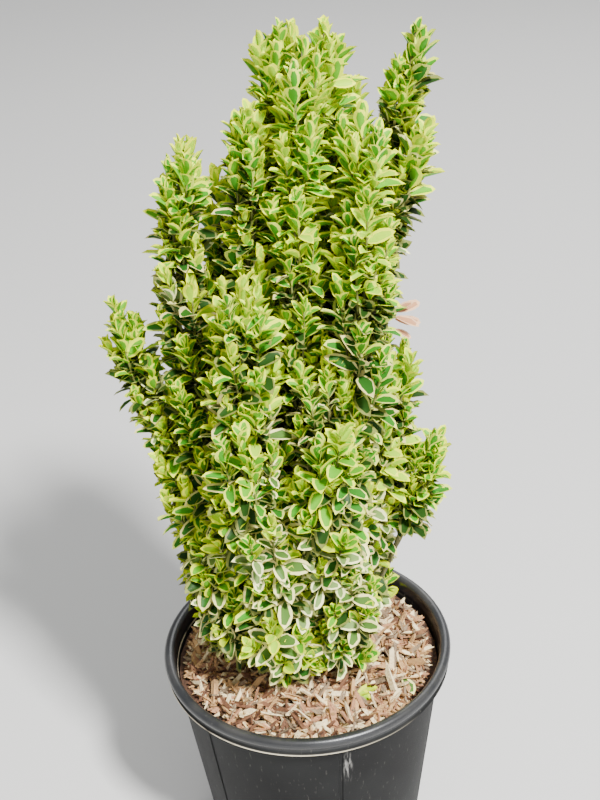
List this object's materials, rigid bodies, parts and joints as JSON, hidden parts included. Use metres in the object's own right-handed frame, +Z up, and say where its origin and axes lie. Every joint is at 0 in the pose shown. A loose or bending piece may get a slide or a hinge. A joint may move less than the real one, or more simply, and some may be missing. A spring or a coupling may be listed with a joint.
{
  "type": "potted japanese spindle",
  "caption": "Upright variegated evergreen shrub with yellow-edged leaves on erect shoots, standing in a round black nursery pot topped with bark mulch.",
  "frame": {"origin": "centre of the pot's flat underside", "axes": "+Z up along the pot's axis; -Y is the side the picture shows as the front; +X is to the right in the picture"},
  "size_m": [0.3263, 0.3, 0.8923],
  "materials": {
    "pot": "black moulded plastic with a satin rim",
    "mulch": "dry bark and wood chips",
    "bark": "dull grey-green bark",
    "foliage": "glossy green leaves with cream and yellow margins"
  },
  "bodies": {
    "root": {"pot": "pot", "bark_mulch": "mulch", "root_crown": "bark", "skirt_bough_1": "bark", "skirt_bough_2": "bark", "skirt_bough_3": "bark", "skirt_bough_4": "bark", "skirt_bough_5": "bark", "skirt_bough_6": "bark", "skirt_bough_7": "bark", "belt_bough_1": "bark", "belt_bough_2": "bark", "belt_bough_3": "bark", "belt_bough_4": "bark", "belt_bough_5": "bark", "belt_bough_6": "bark", "belt_bough_7": "bark", "right_outer_tower_bough": "bark", "right_tower_bough": "bark", "back_right_tower_bough": "bark", "back_left_tower_bough": "bark", "left_tower_bough": "bark", "left_shoulder_tower_bough": "bark", "centre_left_tower_bough": "bark", "front_left_tower_bough": "bark", "centre_front_tower_bough": "bark", "front_right_tower_bough": "bark", "centre_right_tower_bough": "bark", "left_shoot_bough": "bark", "right_shoot_bough": "bark", "skirt_foliage_1": "foliage", "skirt_foliage_2": "foliage", "skirt_foliage_3": "foliage", "skirt_foliage_4": "foliage", "skirt_foliage_5": "foliage", "skirt_foliage_6": "foliage", "skirt_foliage_7": "foliage", "belt_foliage_1": "foliage", "belt_foliage_2": "foliage", "belt_foliage_3": "foliage", "belt_foliage_4": "foliage", "belt_foliage_5": "foliage", "belt_foliage_6": "foliage", "belt_foliage_7": "foliage", "right_outer_tower": "foliage", "right_tower": "foliage", "back_right_tower": "foliage", "back_left_tower": "foliage", "left_tower": "foliage", "left_shoulder_tower": "foliage", "centre_left_tower": "foliage", "front_left_tower": "foliage", "centre_front_tower": "foliage", "front_right_tower": "foliage", "centre_right_tower": "foliage", "left_shoot_foliage": "foliage", "right_shoot_foliage": "foliage"}
  },
  "joints": []
}
